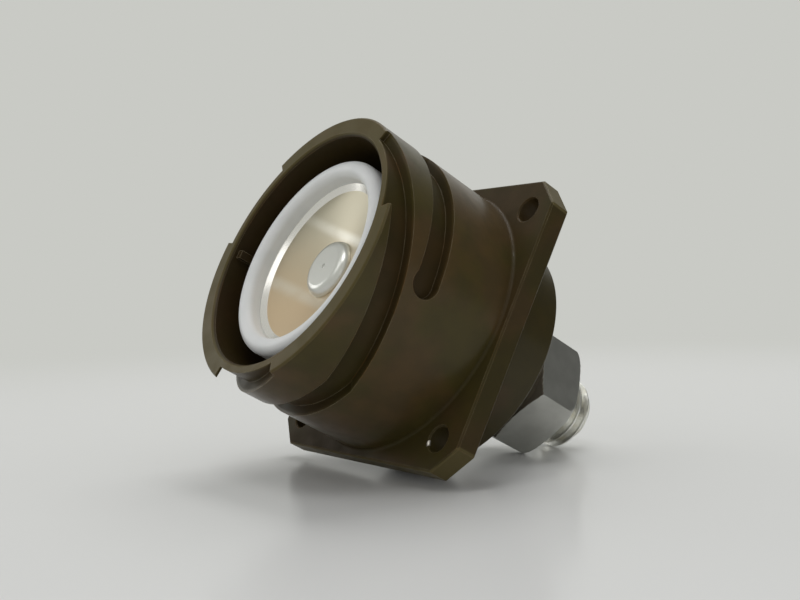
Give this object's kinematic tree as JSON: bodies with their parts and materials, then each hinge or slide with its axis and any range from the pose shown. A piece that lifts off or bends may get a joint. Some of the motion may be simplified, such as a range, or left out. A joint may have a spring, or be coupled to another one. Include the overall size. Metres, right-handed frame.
{
  "type": "circular connector",
  "caption": "Square-flange panel receptacle with a grooved bayonet barrel, a dished contact in a white insulating sleeve, and a threaded terminal stud with a hexagon nut.",
  "frame": {"origin": "centre of the flange's rear face, on the connector's axis, where the panel seats", "axes": "+Z along the axis towards the mating end, X and Y along the sides of the square flange, with the polarising key at +Y"},
  "size_m": [0.06, 0.06, 0.0795],
  "materials": {
    "olive_drab_alloy": "machined alloy with a satin olive drab conversion finish",
    "white_fluoropolymer": "smooth milky white fluoropolymer, turned",
    "turned_silver_plate": "turned copper alloy with warm silver plate, fine circular tool marks",
    "bright_silver_plate": "polished silver plate",
    "seal_rubber": "matt black rubber",
    "plated_steel": "dull plated steel",
    "spring_steel": "dark oiled spring steel",
    "dark_grey_nut": "matt dark grey phosphated steel with a fine grain"
  },
  "bodies": {
    "root": {"shell": "olive_drab_alloy", "face_insulator": "white_fluoropolymer", "rear_insulator": "white_fluoropolymer", "contact_disc": "turned_silver_plate", "contact_tip": "bright_silver_plate", "terminal_stud": "bright_silver_plate", "channel_gasket": "seal_rubber", "shell_seal": "seal_rubber", "stud_seal": "seal_rubber", "backing_washer": "plated_steel", "retaining_ring": "spring_steel", "locking_dowels": "plated_steel", "stud_key": "plated_steel", "clamp_washer": "plated_steel", "disc_springs": "spring_steel", "clamp_nut": "plated_steel", "terminal_nut": "dark_grey_nut"}
  },
  "joints": []
}
